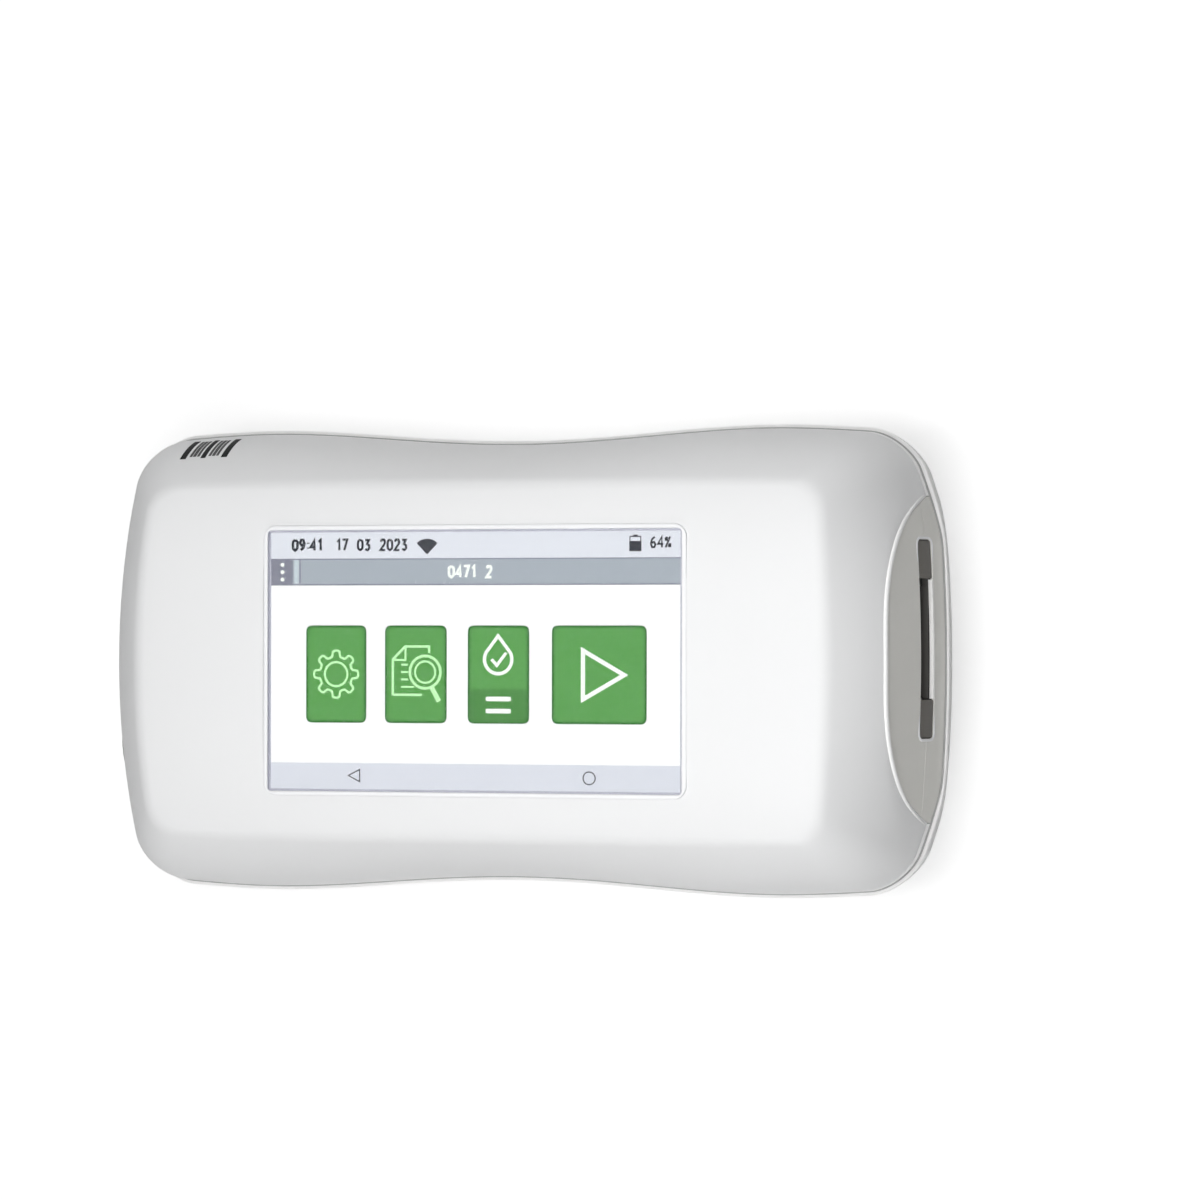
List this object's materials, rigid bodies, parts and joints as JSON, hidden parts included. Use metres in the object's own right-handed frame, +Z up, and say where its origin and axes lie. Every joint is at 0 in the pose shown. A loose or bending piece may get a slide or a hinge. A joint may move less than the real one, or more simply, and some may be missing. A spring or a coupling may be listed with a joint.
{
  "type": "hemostasis analyzer",
  "caption": "Hand-held blood clotting analyzer: waisted white two-shell body, touch screen on top, cuvette slot in one end.",
  "frame": {"origin": "middle of the footprint, on the surface that the rubber feet stand on", "axes": "+X towards the end with the cuvette slot, +Y towards the side with the code reader window, +Z up through the screen"},
  "size_m": [0.1902, 0.103, 0.0569],
  "materials": {
    "shell_white": "satin moulded white plastic",
    "shell_lower": "satin moulded off-white plastic",
    "panel_white": "satin moulded warm white plastic",
    "dark_plastic": "fine textured dark grey plastic",
    "black_plastic": "black moulded plastic",
    "bezel_plastic": "smooth light grey plastic",
    "cover_glass": "clear polished cover glass",
    "display_page": "lit display",
    "black_rubber": "matt dark rubber",
    "alloy": "machined aluminium",
    "mould_grey": "grey moulded plastic",
    "board_green": "solder-masked circuit board",
    "plated_steel": "plated steel",
    "amber_film": "amber flexible film",
    "battery_blue": "shrink-wrapped battery",
    "clear_plastic": "natural moulded plastic",
    "silicone": "soft silicone",
    "reader_dark": "dark red transparent-looking pane",
    "gold_contact": "gold-plated contact"
  },
  "bodies": {
    "housing": {"upper_shell": "shell_white", "lower_shell": "shell_lower", "shell_seal": "black_plastic", "end_panel": "panel_white", "slot_insert_1": "dark_plastic", "slot_insert_2": "dark_plastic", "cuvette_ledge": "shell_white", "screen_bezel": "bezel_plastic", "touch_glass": "cover_glass", "lcd_panel": "display_page", "display_gasket": "black_rubber", "lcd_frame": "alloy", "chassis": "mould_grey", "main_board": "board_green", "processor_shield": "plated_steel", "wireless_module": "plated_steel", "speaker": "black_plastic", "display_cable": "amber_film", "battery_pack": "battery_blue", "battery_connector": "clear_plastic", "battery_door": "shell_lower", "door_screw_1": "plated_steel", "door_screw_2": "plated_steel", "case_screw_1": "plated_steel", "case_screw_2": "plated_steel", "case_screw_3": "plated_steel", "case_screw_4": "plated_steel", "rubber_foot_1": "black_rubber", "rubber_foot_2": "black_rubber", "rubber_foot_3": "black_rubber", "rubber_foot_4": "black_rubber", "bay_base": "mould_grey", "lamp_board": "board_green", "cuvette_tray": "dark_plastic", "guide_rail_1": "dark_plastic", "guide_rail_2": "dark_plastic", "heater_block": "alloy", "detector_board": "board_green", "cuvette_stop": "mould_grey", "pneumatic_seal": "silicone", "lever_switch": "black_plastic", "stepper_motor": "plated_steel", "pump_barrel": "clear_plastic", "air_tube": "silicone", "side_board": "board_green", "button_switch": "black_plastic", "data_port": "plated_steel", "code_reader": "black_plastic", "reader_window": "reader_dark", "dock_block": "black_plastic", "dock_contact_1": "gold_contact", "dock_contact_2": "gold_contact"},
    "button": {"power_button": "dark_plastic"},
    "flap": {"port_flap": "black_rubber"},
    "plunger": {"pump_plunger": "silicone"},
    "screw": {"lead_screw": "plated_steel"},
    "lever": {"cuvette_lever": "clear_plastic"}
  },
  "joints": [
    {"name": "button_press", "type": "slide", "parent": "housing", "child": "button", "axis": [1, 0, 0], "range_m": [0, 0.0009], "stiffness_N_per_m": 400, "springref_m": -0.001},
    {"name": "flap_fold", "type": "hinge", "parent": "housing", "child": "flap", "pos_m": [-0.0905, 0, 0.0083], "axis": [0, -1, 0], "range_deg": [0, 100]},
    {"name": "plunger_slide", "type": "slide", "parent": "housing", "child": "plunger", "axis": [1, 0, 0], "range_m": [0, 0.006]},
    {"name": "screw_turn", "type": "hinge", "parent": "housing", "child": "screw", "pos_m": [0.03, -0.02, 0.0124], "axis": [1, 0, 0], "range_deg": [0, 1085]},
    {"name": "lever_tilt", "type": "hinge", "parent": "housing", "child": "lever", "pos_m": [0.0603, 0.0122, 0.0371], "axis": [0, 1, 0], "range_deg": [0, 12], "stiffness_Nm_per_rad": 0.002, "springref_deg": -11.46}
  ],
  "couplings": [
    {"joint": "screw_turn", "follows": "plunger_slide", "rad_per_m": 3141.6}
  ]
}
